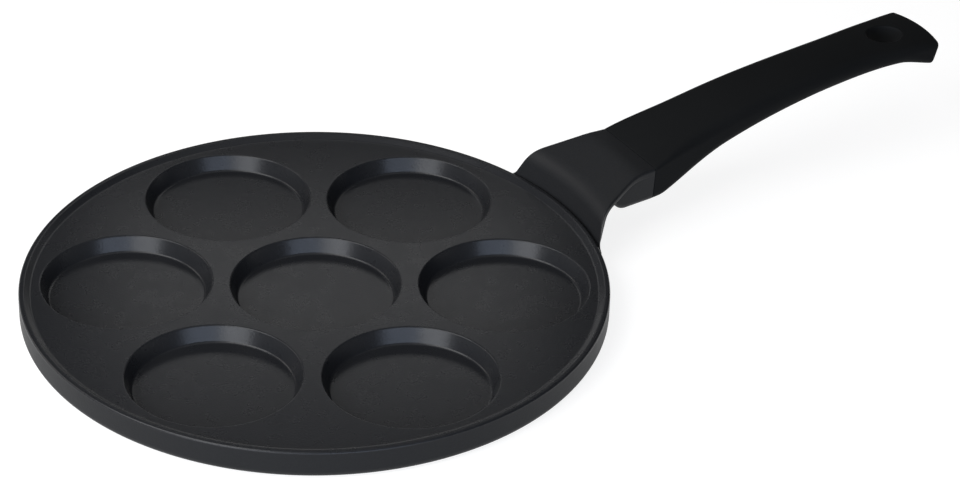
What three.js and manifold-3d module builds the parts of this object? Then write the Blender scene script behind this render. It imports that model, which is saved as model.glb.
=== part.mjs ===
// Pancake pan with seven wells: a cast aluminium body with its handle bracket in one piece, a steel
// induction disc let into the base, and a moulded handle held on the bracket's tang by one screw.
// Millimetres, +Z up. The origin is the centre of the base, and the handle runs along +X.
import * as THREE from "three";
import { mergeVertices } from "three/addons/utils/BufferGeometryUtils.js";
import Module from "manifold-3d";

const wasm = await Module();
wasm.setup();

// Clearance between pieces that are let into each other, and how far a cut runs past a face
const FIT_GAP = 0.3;
const CUT_MARGIN = 5;

// Pan: a flat casting with a low rounded lip round the cooking deck
const PAN_RADIUS = 130;
const BASE_CORNER_ROUND = 4;
const LIP_HEIGHT = 1.8;
const LIP_CREST_WIDTH = 2.4;
const LIP_CREST_ROUND = 1;
const LIP_SLOPE_WIDTH = 2.5;
const LIP_FOOT_ROUND = 1.5;

// Wells: one in the middle and six round it, with sloping walls
const RING_WELLS = 6;
const WELL_FLOOR_THICKNESS = 4.5;
const WELL_DEPTH = 7.1;
const WELL_DRAFT = THREE.MathUtils.degToRad(24);
const WELL_WEB = 7.6;
const WELL_MARGIN = 4.1;
const WELL_EDGE_ROUND = 0.8;
const WELL_FLOOR_ROUND = 1.4;

// Induction disc: perforated steel, flush with the base
const DISC_RADIUS = 95;
const DISC_THICKNESS = 0.8;
const DISC_HOLE_RINGS = 4;
const DISC_HOLE_RADIUS = 2.2;
const DISC_RING_PITCH = 20;

// Bracket: a flared ear that rises from the wall behind the lip, bends over a shoulder, runs up to a
// level stretch and ends in a block
const BRACKET_LENGTH = 35.2;
const BRACKET_GROOVE = 1;
const BRACKET_PLATE = 3.4;
const ROOT_WIDTH = 74.2;
const ROOT_TOP = 11.4;
const ROOT_BOTTOM = 4.6;
const ROOT_FILLET = 5;
const SHOULDER_AT = 3;
const SHOULDER_HEIGHT = 25.5;
const SHOULDER_REACH = 7;
const LEVEL_LENGTH = 9;
const LEVEL_REACH = 4;
const NECK_FROM_END = 9;
const NECK_WIDTH = 44.2;
const NECK_REACH = 6;
const BLOCK_LENGTH = 18.5;
const BLOCK_END_ROUND = 6;
const BLOCK_UNDERSIDE_SLOPE = THREE.MathUtils.degToRad(3);

// Front of the handle, which the block meets flush
const PARTING_WIDTH = 43.2;
const PARTING_TOP = 33.4;
const PARTING_DEPTH = 16.9;
const PARTING_TOP_ROUND = 1.4;
const PARTING_BOTTOM_ROUND = 3;
const PARTING_DRAFT = 1.2;
const PARTING_UNDER_CROWN = 2.6;

// Tang: a tapered bar from the block into the handle
const TANG_LENGTH = 36;
const TANG_WIDTH = 20;
const TANG_HEIGHT = 8;
const TANG_TAPER = 1.5;
const TANG_ROUND = 1;
const TANG_SLOPE = THREE.MathUtils.degToRad(17);
const TANG_BELOW_TOP = 7;

// Handle: an arched bar with a deep front, a finger stop, a slim waist and a flared, bowed end
const HANDLE_LENGTH = 167.5;
const HANDLE_RISE = 21.5;
const HANDLE_START_SLOPE = THREE.MathUtils.degToRad(22);
const HANDLE_END_SLOPE = THREE.MathUtils.degToRad(-4);
const HANDLE_START_REACH = 45;
const HANDLE_END_REACH = 48;
const BELLY_AT = 8;
const BELLY_DEPTH = 19.3;
const FINGER_STOP_AT = 45;
const GRIP_DEPTH = 13.8;
const GRIP_WIDTH = 35.2;
const SLIM_FROM_END = 21;
const SLIM_DEPTH = 8;
const END_DEPTH = 10.8;
const WAIST_FROM_END = 57.4;
const WAIST_WIDTH = 31.4;
const WAIST_DEPTH = 10.4;
const END_WIDTH = 36.6;
const END_BOW = 3.6;
const END_RAKE = 2.2;
const END_BOW_LENGTH = 30;
const END_ROUND = 1.6;
const END_TOP_ROUND = 2.6;
const END_BOTTOM_ROUND = 2.8;
const GRIP_ROUND_AT = 33;
const GRIP_TOP_ROUND = 5;
const GRIP_BOTTOM_ROUND = 6;
const GRIP_ROUND_FROM_END = 52.4;
const GRIP_CROWN = 0.8;
const GRIP_UNDER_CROWN = 1.2;

// Hanging hole, an oval along the handle
const HANG_FROM_END = 23.9;
const HANG_LENGTH = 19;
const HANG_WIDTH = 14;

// Handle fixing: a pan-head screw with a flat and a spring washer, from below into the tang
const SCREW_AT = 11;
const SCREW_RADIUS = 2.5;
const SCREW_HEAD_RADIUS = 4.7;
const SCREW_HEAD_HEIGHT = 2.7;
const SCREW_HEAD_ROUND = 1.4;
const SCREW_POINT = 0.6;
const SCREW_ENGAGEMENT = 7;
const SCREW_SEAT_WALL = 3;
const RECESS_SPAN = 5;
const RECESS_WIDTH = 1;
const RECESS_DEPTH = 1.6;
const WASHER_RADIUS = 5;
const FLAT_WASHER_THICKNESS = 1;
const SPRING_WASHER_RADIUS = 4.4;
const SPRING_WASHER_THICKNESS = 1.3;
const SPRING_WASHER_SPLIT = THREE.MathUtils.degToRad(16);

// How finely round forms are divided
const PAN_SEGMENTS = 84;
const WELL_SEGMENTS = 36;
const FASTENER_SEGMENTS = 20;
const HOLE_SEGMENTS = 6;
const ARC_STEP = THREE.MathUtils.degToRad(45);
const CORNER_STEPS = 4;
const EDGE_STEPS = 5;
const HANDLE_STATIONS = 25;
const BRACKET_STATIONS = 24;
const STATION_CROWDING = 1.3;
const CURVE_STEPS = 60;

// Sizes that follow from those above
const DECK_HEIGHT = WELL_FLOOR_THICKNESS + WELL_DEPTH;
const LIP_TOP = DECK_HEIGHT + LIP_HEIGHT;
const DECK_RADIUS = PAN_RADIUS - LIP_CREST_WIDTH - LIP_SLOPE_WIDTH;
const WELL_RADIUS = (DECK_RADIUS - WELL_WEB - WELL_MARGIN) / 3;
const WELL_PITCH = 2 * WELL_RADIUS + WELL_WEB;
const PARTING_X = PAN_RADIUS + BRACKET_LENGTH;
const HANDLE_FRONT_X = PARTING_X + FIT_GAP;
const HANDLE_TOP = PARTING_TOP + HANDLE_RISE;
const SCREW_X = PARTING_X + SCREW_AT;
const HANG_X = PARTING_X + HANDLE_LENGTH - HANG_FROM_END;

const ease = (share) => (1 - Math.cos(Math.PI * THREE.MathUtils.clamp(share, 0, 1))) / 2;

// Value at a place along a row of [place, value] pairs: a smooth curve that never overshoots them.
function smooth(pairs, place) {
  const last = pairs.length - 1;
  const rise = (i) => (pairs[i + 1][1] - pairs[i][1]) / (pairs[i + 1][0] - pairs[i][0]);
  const slope = (i) => {
    if (i === 0 || i === last) return rise(Math.min(i, last - 1));
    const [before, after] = [rise(i - 1), rise(i)];
    return before * after > 0 ? (2 * before * after) / (before + after) : 0;
  };
  const i = Math.max(0, pairs.slice(0, last).findLastIndex(([from]) => from <= place));
  const span = pairs[i + 1][0] - pairs[i][0];
  const t = THREE.MathUtils.clamp((place - pairs[i][0]) / span, 0, 1);
  const value = pairs[i][1] + (pairs[i + 1][1] - pairs[i][1]) * t ** 2 * (3 - 2 * t);
  return value + span * t * (1 - t) * (slope(i) * (1 - t) - slope(i + 1) * t);
}

// Curve that leaves one place at an angle and arrives at another at an angle.
function sweep(start, leaving, reach, end, arriving, reachBack) {
  const step = (angle, length) =>
    new THREE.Vector2(Math.cos(angle), Math.sin(angle)).multiplyScalar(length);
  const leave = step(leaving, reach).add(start);
  const arrive = step(arriving, -reachBack).add(end);
  return new THREE.CubicBezierCurve(start, leave, arrive, end);
}

// Path through corners given as [x, y, reach], each softened over its reach to either side.
function softened(corners) {
  const places = corners.map(([x, y]) => new THREE.Vector2(x, y));
  const path = new THREE.Path([places[0]]);
  for (let i = 1; i < places.length - 1; i += 1) {
    const towards = (other) => other.clone().sub(places[i]).setLength(corners[i][2]).add(places[i]);
    const [leave, arrive] = [towards(places[i - 1]), towards(places[i + 1])];
    path.lineTo(leave.x, leave.y).quadraticCurveTo(places[i].x, places[i].y, arrive.x, arrive.y);
  }
  return path.lineTo(places.at(-1).x, places.at(-1).y);
}

// Path through corners given as [across, up, radius], with an arc where a corner has a radius.
function rounded(corners) {
  const points = [];
  corners.forEach(([across, up, radius], i) => {
    const corner = new THREE.Vector2(across, up);
    if (!radius) {
      points.push(corner);
      return;
    }
    const back = new THREE.Vector2(...corners[i - 1]).sub(corner).normalize();
    const ahead = new THREE.Vector2(...corners[i + 1]).sub(corner).normalize();
    const half = Math.acos(back.dot(ahead)) / 2;
    const start = corner.clone().addScaledVector(back, radius / Math.tan(half));
    const centre = back.clone().add(ahead).setLength(radius / Math.sin(half)).add(corner);
    const turn = Math.sign(ahead.cross(back)) * (Math.PI - 2 * half);
    const steps = Math.max(2, Math.ceil(Math.abs(turn) / ARC_STEP));
    for (let k = 0; k <= steps; k += 1) {
      points.push(start.clone().rotateAround(centre, (turn * k) / steps));
    }
  });
  return points;
}

// Body turned about the Z axis from a half section that starts and ends on the axis.
function revolved(points, segments) {
  return new THREE.LatheGeometry(points, segments).rotateX(Math.PI / 2);
}

// Triangles that close a section of so many points, in strips from its lower to its upper edge.
function capOf(count) {
  const opposite = count / 2;
  const triangles = [];
  for (let i = -Math.floor(opposite / 2); i < Math.floor(opposite / 2); i += 1) {
    const [a, b, c, d] = [i, i + 1, opposite - i - 1, opposite - i].map((k) => (k + count) % count);
    triangles.push([a, b, c], [a, c, d]);
  }
  return triangles;
}

// Body through a row of sections, each counter-clockwise seen from +X from its bottom middle.
function lofted(sections) {
  const count = sections[0].length;
  const last = (sections.length - 1) * count;
  const index = [];
  for (let ring = 0; ring < last; ring += count) {
    for (let i = 0; i < count; i += 1) {
      const here = ring + i;
      const next = ring + ((i + 1) % count);
      index.push(here, next, next + count, here, next + count, here + count);
    }
  }
  capOf(count).forEach(([a, b, c]) => index.push(a, c, b, last + a, last + b, last + c));
  const geometry = new THREE.BufferGeometry().setFromPoints(sections.flat());
  geometry.setIndex(index);
  return geometry;
}

// Solid that can be joined and cut, from a closed geometry.
function solidOf(geometry) {
  const bare = new THREE.BufferGeometry();
  bare.setAttribute("position", geometry.getAttribute("position"));
  bare.setIndex(geometry.getIndex());
  const merged = mergeVertices(bare);
  const corners = merged.getIndex().array;
  const triVerts = [];
  for (let i = 0; i < corners.length; i += 3) {
    const [a, b, c] = corners.slice(i, i + 3);
    if (a !== b && b !== c && c !== a) triVerts.push(a, b, c);
  }
  const vertProperties = new Float32Array(merged.getAttribute("position").array);
  return new wasm.Manifold(
    new wasm.Mesh({ numProp: 3, vertProperties, triVerts: new Uint32Array(triVerts) }),
  );
}

function geometryOf(solid) {
  const { vertProperties, triVerts } = solid.getMesh();
  const geometry = new THREE.BufferGeometry();
  geometry.setAttribute("position", new THREE.BufferAttribute(vertProperties, 3));
  geometry.setIndex(new THREE.BufferAttribute(triVerts, 1));
  geometry.computeVertexNormals();
  return geometry;
}

// Pan plate with its lip, from the recess for the disc round the outside to the deck.
function panPlate() {
  const recess = DISC_RADIUS + FIT_GAP;
  return revolved(
    rounded([
      [0, DISC_THICKNESS],
      [recess, DISC_THICKNESS],
      [recess, 0],
      [PAN_RADIUS, 0, BASE_CORNER_ROUND],
      [PAN_RADIUS, LIP_TOP, LIP_CREST_ROUND],
      [PAN_RADIUS - LIP_CREST_WIDTH, LIP_TOP, LIP_CREST_ROUND],
      [DECK_RADIUS, DECK_HEIGHT, LIP_FOOT_ROUND],
      [0, DECK_HEIGHT],
    ]),
    PAN_SEGMENTS,
  );
}

// Space inside one well, up past the deck: flat floor, sloping wall and a rounded mouth.
function wellSpace() {
  const floorRadius = WELL_RADIUS - WELL_DEPTH * Math.tan(WELL_DRAFT);
  const wall = rounded([
    [0, WELL_FLOOR_THICKNESS],
    [floorRadius, WELL_FLOOR_THICKNESS, WELL_FLOOR_ROUND],
    [WELL_RADIUS, DECK_HEIGHT, WELL_EDGE_ROUND],
    [WELL_RADIUS + CUT_MARGIN, DECK_HEIGHT],
  ]);
  wall.pop();
  const above = DECK_HEIGHT + CUT_MARGIN;
  wall.push(new THREE.Vector2(wall.at(-1).x, above), new THREE.Vector2(0, above));
  return revolved(wall, WELL_SEGMENTS);
}

// Top line of the bracket in the XZ plane: up from the groove behind the lip and over to the handle.
function bracketTopLine() {
  return softened([
    [PAN_RADIUS + BRACKET_GROOVE, ROOT_TOP],
    [PAN_RADIUS + SHOULDER_AT, SHOULDER_HEIGHT, SHOULDER_REACH],
    [PARTING_X - LEVEL_LENGTH, PARTING_TOP, LEVEL_REACH],
    [PARTING_X, PARTING_TOP],
  ]);
}

// Widths of the bracket along its top line: a straight flare in to the neck, then on to the handle.
function bracketWidths(length) {
  return softened([
    [0, ROOT_WIDTH],
    [length - NECK_FROM_END, NECK_WIDTH, NECK_REACH],
    [length, PARTING_WIDTH],
  ]).getPoints(CURVE_STEPS);
}

// Underside of the flare: a slope out of the wall, then the top line moved in by the plate.
function bracketUnderLine(topLine) {
  const places = Array.from({ length: CURVE_STEPS + 1 }, (_, k) => k / CURVE_STEPS);
  const inner = places.map((share) => {
    const ahead = topLine.getTangentAt(share);
    const inward = new THREE.Vector2(ahead.y, -ahead.x);
    return inward.multiplyScalar(BRACKET_PLATE).add(topLine.getPointAt(share));
  });
  return [new THREE.Vector2(PAN_RADIUS, ROOT_BOTTOM), ...inner];
}

// Height of a line, given as points in order of X, at a place.
function heightOn(line, x) {
  const i = line.findIndex((point) => point.x >= x);
  if (i < 1) return line.at(i).y;
  const [before, after] = [line[i - 1], line[i]];
  return THREE.MathUtils.mapLinear(x, before.x, after.x, before.y, after.y);
}

// Quarter arc of a section's corner, counter-clockwise from an angle.
function quarterArc(y, z, radius, from) {
  return Array.from({ length: CORNER_STEPS + 1 }, (_, k) => {
    const angle = from + (k / CORNER_STEPS) * (Math.PI / 2);
    return new THREE.Vector2(y + radius * Math.cos(angle), z + radius * Math.sin(angle));
  });
}

// Points from the middle of a section's edge out to its corner, without the corner.
function halfEdge(half, z) {
  const steps = Array.from({ length: EDGE_STEPS }, (_, k) => k / EDGE_STEPS);
  return steps.map((share) => new THREE.Vector2(half * share, z));
}

// Whole section from its right half, which runs from the bottom middle to the top middle.
function mirrored(rightHalf) {
  const inner = rightHalf.slice(1, -1).reverse();
  return [...rightHalf, ...inner.map(({ x, y }) => new THREE.Vector2(-x, y))];
}

// How far a section's middle swells, as a share of its crown.
const swell = (y, half) => 1 - Math.min(1, Math.abs(y) / half) ** 2;

// Section of the bracket: the flare's top and edge, its underside, and the block that hangs below.
function bracketSection({ x, top, under, half }) {
  const lean = ease((2 * (PARTING_X - x)) / BRACKET_LENGTH);
  const block = PARTING_WIDTH / 2;
  const level = PARTING_TOP - PARTING_DEPTH - Math.tan(BLOCK_UNDERSIDE_SLOPE) * (PARTING_X - x);
  const inside = THREE.MathUtils.clamp(x - PARTING_X + BLOCK_LENGTH, 0, BLOCK_END_ROUND);
  const turned = Math.sqrt(BLOCK_END_ROUND ** 2 - (BLOCK_END_ROUND - inside) ** 2);
  const bottom = inside > 0 ? Math.min(under, level + BLOCK_END_ROUND - turned) : under;
  const blockRound = Math.min(PARTING_BOTTOM_ROUND, under - bottom);
  const edgeRound = Math.min(PARTING_TOP_ROUND, half - block);
  const crown = PARTING_UNDER_CROWN * Math.min(1, (under - bottom) / BLOCK_END_ROUND);
  const rightHalf = [
    ...halfEdge(block - blockRound, bottom),
    ...quarterArc(block - blockRound, bottom + blockRound, blockRound, -Math.PI / 2),
    new THREE.Vector2(block, under),
    ...quarterArc(half - edgeRound, under + edgeRound, edgeRound, -Math.PI / 2),
    ...quarterArc(half - PARTING_TOP_ROUND, top - PARTING_TOP_ROUND, PARTING_TOP_ROUND, 0),
    ...halfEdge(half - PARTING_TOP_ROUND, top).reverse(),
  ];
  return mirrored(rightHalf).map(({ x: across, y: z }) => {
    const y = across * (1 - ((PARTING_DRAFT / block) * (top - z)) / PARTING_DEPTH);
    const sag = PAN_RADIUS - Math.sqrt(PAN_RADIUS ** 2 - y ** 2);
    const drop = crown > 0 ? (crown * swell(across, block) * (top - z)) / (top - bottom) : 0;
    return new THREE.Vector3(x - sag * lean, y, z - drop);
  });
}

// Bracket: sections from inside the pan's wall, up the flare and over the shoulder, to the parting face.
function bracket() {
  const topLine = bracketTopLine();
  const underLine = bracketUnderLine(topLine);
  const length = topLine.getLength();
  const widths = bracketWidths(length);
  const sections = Array.from({ length: BRACKET_STATIONS }, (_, k) => {
    const share = (k / (BRACKET_STATIONS - 1)) ** STATION_CROWDING;
    const place = share * length;
    const { x, y: top } = topLine.getPointAt(share);
    const intoWall = Math.max(0, 1 - place / ROOT_FILLET);
    const fillet = ROOT_FILLET * (1 - Math.sqrt(1 - intoWall ** 2));
    return { x, top, under: heightOn(underLine, x), half: heightOn(widths, place) / 2 + fillet };
  });
  const root = { ...sections[0], x: PAN_RADIUS - LIP_CREST_WIDTH, under: ROOT_BOTTOM };
  return lofted([root, ...sections].map(bracketSection));
}

// Section of a bar across X with a rounded outline. Its top and bottom swell by their crowns and its
// sides draw in by a draft towards the bottom. Along X its middle runs ahead by a bow and its bottom
// lags by a rake.
function barSection({ x, half, top, bottom, topRound, bottomRound, ...form }) {
  const { crown = 0, underCrown = 0, draft = 0, bow = 0, rake = 0 } = form;
  const depth = top - bottom;
  const fit = Math.min(1, depth / (topRound + bottomRound));
  const above = topRound * fit;
  const below = bottomRound * fit;
  const rightHalf = [
    ...halfEdge(half - below, bottom),
    ...quarterArc(half - below, bottom + below, below, -Math.PI / 2),
    ...quarterArc(half - above, top - above, above, 0),
    ...halfEdge(half - above, top).reverse(),
  ];
  return mirrored(rightHalf).map(({ x: across, y: z }) => {
    const share = (z - bottom) / depth;
    const y = across * (1 - (draft / half) * (1 - share));
    const lift = (crown * share - underCrown * (1 - share)) * swell(across, half);
    return new THREE.Vector3(x + bow * swell(across, half) - rake * (1 - share), y, z + lift);
  });
}

const tangMiddle = (x) => PARTING_TOP - TANG_BELOW_TOP + Math.tan(TANG_SLOPE) * (x - PARTING_X);
const tangHalfHeight = (x) => {
  const taper = (TANG_TAPER * (x - PARTING_X)) / TANG_LENGTH;
  return (TANG_HEIGHT - taper) / 2 / Math.cos(TANG_SLOPE);
};

// The screw's seat in the handle, the underside of its head, and its length from there into the tang
const TANG_UNDERSIDE = tangMiddle(SCREW_X) - tangHalfHeight(SCREW_X);
const SEAT_HEIGHT = TANG_UNDERSIDE - FIT_GAP - SCREW_SEAT_WALL;
const HEAD_HEIGHT = SEAT_HEIGHT - FLAT_WASHER_THICKNESS - SPRING_WASHER_THICKNESS;
const SCREW_LENGTH = TANG_UNDERSIDE + SCREW_ENGAGEMENT - HEAD_HEIGHT;

// Tang, or with a gap the socket for it, from inside the block to its tip in the handle.
function tangBar(gap) {
  const tip = PARTING_X + TANG_LENGTH * Math.cos(TANG_SLOPE);
  return lofted(
    [PARTING_X - PARTING_BOTTOM_ROUND, tip + gap].map((x) =>
      barSection({
        x,
        half: (TANG_WIDTH - (TANG_TAPER * (x - PARTING_X)) / TANG_LENGTH) / 2 + gap,
        top: tangMiddle(x) + tangHalfHeight(x) + gap,
        bottom: tangMiddle(x) - tangHalfHeight(x) - gap,
        topRound: TANG_ROUND,
        bottomRound: TANG_ROUND,
      }),
    ),
  );
}

// Upright round pin at the screw's place, used for bores.
function screwBore(radius, from, to) {
  const pin = new THREE.CylinderGeometry(radius, radius, to - from, FASTENER_SEGMENTS);
  return pin.rotateX(Math.PI / 2).translate(SCREW_X, 0, (from + to) / 2);
}

// Pan body: plate and bracket in one casting, with the wells and the tang's screw hole cut out.
function panBody() {
  const tang = solidOf(tangBar(0)).subtract(solidOf(screwBore(SCREW_RADIUS + FIT_GAP, 0, HANDLE_TOP)));
  let body = solidOf(panPlate()).add(solidOf(bracket())).add(tang);
  const well = solidOf(wellSpace());
  body = body.subtract(well);
  for (let i = 0; i < RING_WELLS; i += 1) {
    const angle = ((i + 0.5) / RING_WELLS) * 2 * Math.PI;
    const place = [WELL_PITCH * Math.cos(angle), WELL_PITCH * Math.sin(angle), 0];
    body = body.subtract(well.translate(place));
  }
  return geometryOf(body);
}

// Induction disc: rings of holes round a plain middle.
function inductionDisc() {
  const circle = (radius, segments, x, y) =>
    Array.from({ length: segments }, (_, k) => {
      const angle = (k / segments) * 2 * Math.PI;
      return new THREE.Vector2(x + radius * Math.cos(angle), y + radius * Math.sin(angle));
    });
  const shape = new THREE.Shape(circle(DISC_RADIUS, PAN_SEGMENTS, 0, 0));
  for (let ring = 1; ring <= DISC_HOLE_RINGS; ring += 1) {
    const count = RING_WELLS * ring;
    for (let i = 0; i < count; i += 1) {
      const angle = (i / count) * 2 * Math.PI;
      const [x, y] = [ring * DISC_RING_PITCH * Math.cos(angle), ring * DISC_RING_PITCH * Math.sin(angle)];
      shape.holes.push(new THREE.Path(circle(DISC_HOLE_RADIUS, HOLE_SEGMENTS, x, y)));
    }
  }
  return new THREE.ExtrudeGeometry(shape, { depth: DISC_THICKNESS, bevelEnabled: false });
}

// Top line of the handle: one curve that leaves the bracket steeply and levels out at the end.
function handleTopLine() {
  const start = new THREE.Vector2(PARTING_X, PARTING_TOP);
  const end = new THREE.Vector2(PARTING_X + HANDLE_LENGTH, HANDLE_TOP);
  const curve = sweep(
    start, HANDLE_START_SLOPE, HANDLE_START_REACH, end, HANDLE_END_SLOPE, HANDLE_END_REACH,
  );
  return curve.getPoints(CURVE_STEPS);
}

// Section of the handle at a place, drawn in on all sides by an inset.
function handleSection(x, inset, topLine) {
  const place = x - PARTING_X;
  const ending = HANDLE_LENGTH - END_BOW;
  const finish = ease(1 - (ending - place) / END_BOW_LENGTH);
  const along = (...pairs) => smooth(pairs, place);
  const round = (front, grip, end) =>
    along(
      [0, front],
      [GRIP_ROUND_AT, grip],
      [HANDLE_LENGTH - GRIP_ROUND_FROM_END, grip],
      [ending, end],
    ) - inset;
  const width = along(
    [0, PARTING_WIDTH],
    [FINGER_STOP_AT, GRIP_WIDTH],
    [HANDLE_LENGTH - WAIST_FROM_END, WAIST_WIDTH],
    [ending, END_WIDTH],
  );
  const depth = along(
    [0, PARTING_DEPTH],
    [BELLY_AT, BELLY_DEPTH],
    [FINGER_STOP_AT, GRIP_DEPTH],
    [HANDLE_LENGTH - WAIST_FROM_END, WAIST_DEPTH],
    [HANDLE_LENGTH - SLIM_FROM_END, SLIM_DEPTH],
    [ending, END_DEPTH],
  );
  const top = heightOn(topLine, x);
  return barSection({
    x,
    half: width / 2 - inset,
    top: top - inset,
    bottom: top - depth + inset,
    topRound: round(PARTING_TOP_ROUND, GRIP_TOP_ROUND, END_TOP_ROUND),
    bottomRound: round(PARTING_BOTTOM_ROUND, GRIP_BOTTOM_ROUND, END_BOTTOM_ROUND),
    crown: along([0, 0], [FINGER_STOP_AT, GRIP_CROWN]),
    underCrown: along([0, PARTING_UNDER_CROWN], [FINGER_STOP_AT, GRIP_UNDER_CROWN]),
    draft: along([0, PARTING_DRAFT], [FINGER_STOP_AT, 0]),
    bow: END_BOW * finish,
    rake: END_RAKE * finish,
  });
}

// Handle: sections along the arch, closed by a rounded edge at the end, then the holes.
function handle() {
  const topLine = handleTopLine();
  const straight = PARTING_X + HANDLE_LENGTH - END_BOW - END_ROUND;
  const sections = Array.from({ length: HANDLE_STATIONS }, (_, k) => {
    const share = k / (HANDLE_STATIONS - 1);
    return handleSection(THREE.MathUtils.lerp(HANDLE_FRONT_X, straight, share), 0, topLine);
  });
  for (let k = 1; k <= CORNER_STEPS; k += 1) {
    const angle = (k / CORNER_STEPS) * (Math.PI / 2);
    const inset = END_ROUND * (1 - Math.cos(angle));
    sections.push(handleSection(straight + END_ROUND * Math.sin(angle), inset, topLine));
  }
  const oval = new THREE.Shape().absellipse(0, 0, HANG_LENGTH / 2, HANG_WIDTH / 2, 0, 2 * Math.PI);
  const hang = new THREE.ExtrudeGeometry(oval, {
    depth: HANDLE_TOP + CUT_MARGIN,
    bevelEnabled: false,
    curveSegments: FASTENER_SEGMENTS,
  }).translate(HANG_X, 0, 0);
  const cuts = [
    hang,
    tangBar(FIT_GAP),
    screwBore(SCREW_RADIUS + FIT_GAP, 0, tangMiddle(SCREW_X)),
    screwBore(WASHER_RADIUS + FIT_GAP, 0, SEAT_HEIGHT),
  ];
  return geometryOf(cuts.reduce((solid, cut) => solid.subtract(solidOf(cut)), solidOf(lofted(sections))));
}

// Screw: domed head at the bottom with a cross recess, shank upwards; its origin is under the head.
function screw() {
  const length = SCREW_LENGTH;
  const blank = revolved(
    rounded([
      [0, -SCREW_HEAD_HEIGHT],
      [SCREW_HEAD_RADIUS, -SCREW_HEAD_HEIGHT, SCREW_HEAD_ROUND],
      [SCREW_HEAD_RADIUS, 0],
      [SCREW_RADIUS, 0],
      [SCREW_RADIUS, length - SCREW_POINT],
      [SCREW_RADIUS - SCREW_POINT, length],
      [0, length],
    ]),
    FASTENER_SEGMENTS,
  );
  const slot = new THREE.BoxGeometry(RECESS_SPAN, RECESS_WIDTH, 2 * RECESS_DEPTH);
  const across = slot.clone().rotateZ(Math.PI / 2);
  const recess = solidOf(slot).add(solidOf(across)).translate([0, 0, -SCREW_HEAD_HEIGHT]);
  return geometryOf(solidOf(blank).subtract(recess));
}

// Flat washer, whose lower face is at its origin.
function flatWasher() {
  const inner = SCREW_RADIUS + FIT_GAP;
  return revolved(
    rounded([
      [inner, 0],
      [WASHER_RADIUS, 0],
      [WASHER_RADIUS, FLAT_WASHER_THICKNESS],
      [inner, FLAT_WASHER_THICKNESS],
      [inner, 0],
    ]),
    FASTENER_SEGMENTS,
  );
}

// Spring washer: a split ring, whose lower face is at its origin.
function springWasher() {
  const [from, to] = [SPRING_WASHER_SPLIT / 2, 2 * Math.PI - SPRING_WASHER_SPLIT / 2];
  const ring = new THREE.Shape()
    .absarc(0, 0, SPRING_WASHER_RADIUS, from, to, false)
    .absarc(0, 0, SCREW_RADIUS + FIT_GAP, to, from, true)
    .closePath();
  return new THREE.ExtrudeGeometry(ring, {
    depth: SPRING_WASHER_THICKNESS,
    bevelEnabled: false,
    curveSegments: FASTENER_SEGMENTS,
  });
}

const pan = new THREE.Group();

function addPiece(name, geometry, finish, height = 0, x = 0) {
  const piece = new THREE.Mesh(geometry, new THREE.MeshStandardMaterial(finish));
  piece.name = name;
  piece.position.set(x, 0, height);
  pan.add(piece);
}

const COATED = { color: 0x323335, roughness: 0.55, metalness: 0.2 };
const PHENOLIC = { color: 0x17181a, roughness: 0.7, metalness: 0 };
const STEEL = { color: 0xb3b4b2, roughness: 0.35, metalness: 1 };

addPiece("pan_body", panBody(), COATED);
addPiece("induction_disc", inductionDisc(), STEEL);
addPiece("handle", handle(), PHENOLIC);
addPiece("flat_washer", flatWasher(), STEEL, SEAT_HEIGHT - FLAT_WASHER_THICKNESS, SCREW_X);
addPiece("spring_washer", springWasher(), STEEL, HEAD_HEIGHT, SCREW_X);
addPiece("handle_screw", screw(), STEEL, HEAD_HEIGHT, SCREW_X);

export default pan;
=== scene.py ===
"""Pancake pan with seven wells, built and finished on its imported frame.

Lengths are metres in the frame's axes: the origin is the middle of the base, the handle runs along +X and
+Z is up.
"""

import math

import bpy
import numpy as np
from bpy.props import FloatProperty, FloatVectorProperty, IntProperty, PointerProperty
from mathutils import Matrix, Vector


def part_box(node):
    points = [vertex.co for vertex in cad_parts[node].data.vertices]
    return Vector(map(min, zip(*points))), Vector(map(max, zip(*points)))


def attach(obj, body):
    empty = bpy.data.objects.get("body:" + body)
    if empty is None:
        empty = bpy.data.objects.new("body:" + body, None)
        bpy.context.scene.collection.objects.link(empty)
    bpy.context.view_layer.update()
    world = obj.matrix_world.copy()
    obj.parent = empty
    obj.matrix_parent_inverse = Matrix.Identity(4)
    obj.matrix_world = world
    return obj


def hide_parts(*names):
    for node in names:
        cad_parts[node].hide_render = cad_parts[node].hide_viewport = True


bl_info = {
    "name": "Pancake pan",
    "version": (1, 0, 0),
    "blender": (4, 5, 0),
    "location": "3D View > Sidebar > Pancake pan",
    "description": "Builds a cast pancake pan with its handle, base disc and fixing on a packed frame",
    "category": "Add Mesh",
}

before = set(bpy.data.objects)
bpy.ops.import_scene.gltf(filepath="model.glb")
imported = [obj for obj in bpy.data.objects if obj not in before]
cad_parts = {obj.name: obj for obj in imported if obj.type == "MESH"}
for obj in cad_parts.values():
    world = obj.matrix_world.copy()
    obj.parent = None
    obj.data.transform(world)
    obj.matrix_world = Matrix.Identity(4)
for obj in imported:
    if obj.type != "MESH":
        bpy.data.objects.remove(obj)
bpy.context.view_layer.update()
PAN_LOW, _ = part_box("pan_body")
_, DISC_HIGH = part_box("induction_disc")
HANDLE_LOW, HANDLE_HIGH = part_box("handle")
SCREW_LOW, SCREW_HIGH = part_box("handle_screw")
FLAT_LOW, FLAT_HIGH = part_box("flat_washer")
SPRING_LOW, SPRING_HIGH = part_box("spring_washer")

MM = 0.001

# Clearance between pieces that are let into each other, and how far a cut runs past a face
FIT_GAP = 0.3 * MM
CUT_MARGIN = 5 * MM

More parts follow.
